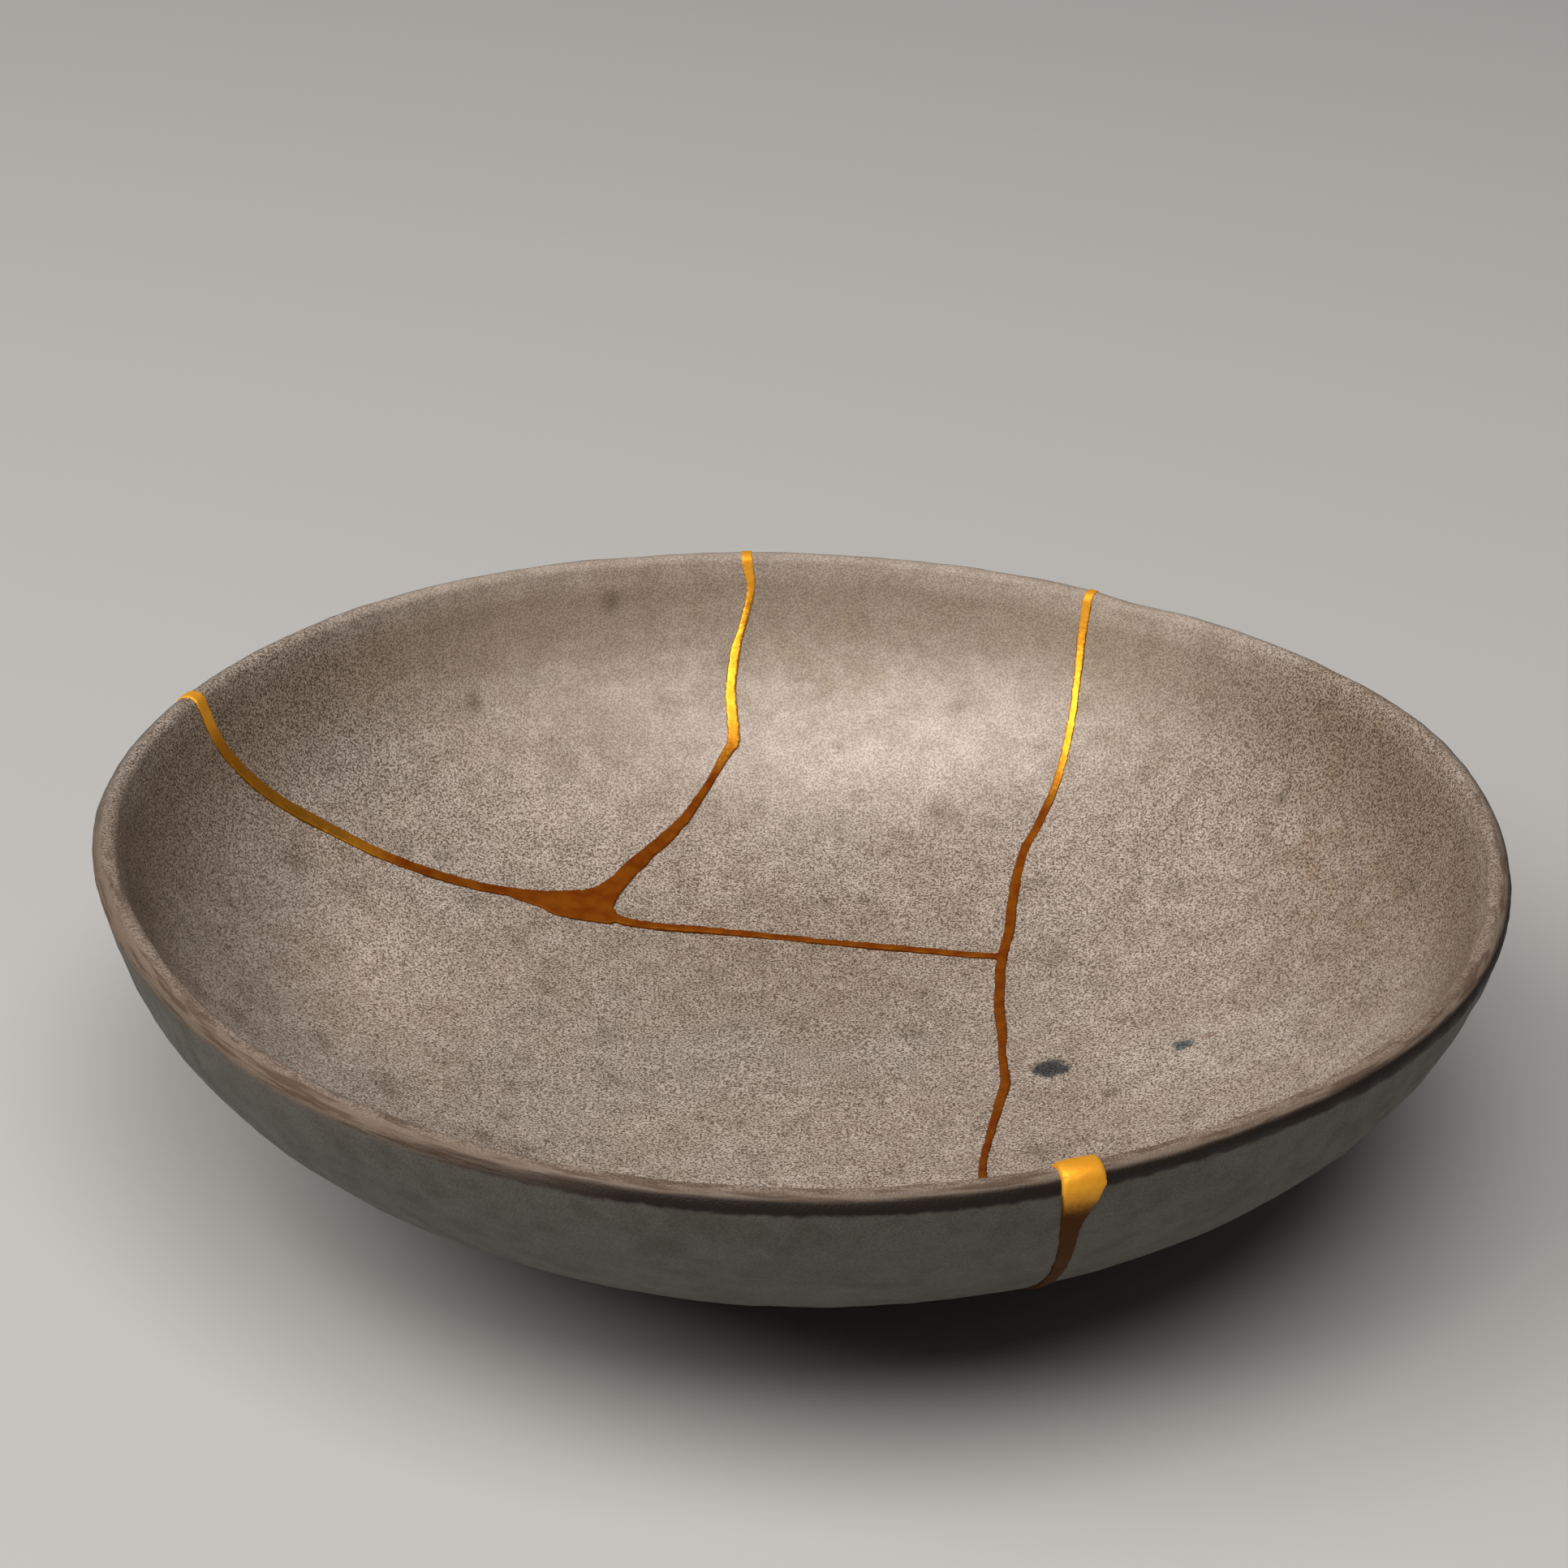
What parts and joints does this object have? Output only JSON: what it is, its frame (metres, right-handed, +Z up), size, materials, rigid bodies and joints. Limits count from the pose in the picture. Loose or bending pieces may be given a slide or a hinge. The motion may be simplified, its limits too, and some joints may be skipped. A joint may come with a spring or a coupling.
{
  "type": "kintsugi bowl",
  "caption": "Wide shallow stoneware bowl on a low foot ring, broken into shards and mended with gold lacquer seams.",
  "frame": {"origin": "on the table, under the middle of the foot ring", "axes": "+X to the viewer's right, +Y away from the viewer, +Z up out of the bowl's mouth"},
  "size_m": [0.2398, 0.2399, 0.0617],
  "materials": {
    "stoneware": "matt speckled grey-beige stoneware with an iron-brown lip",
    "gold_lacquer": "satin gold powder on lacquer, slightly proud of the wall"
  },
  "bodies": {
    "root": {"front_shard": "stoneware", "left_shard": "stoneware", "rear_shard": "stoneware", "right_shard": "stoneware", "gold_seam": "gold_lacquer"}
  },
  "joints": []
}
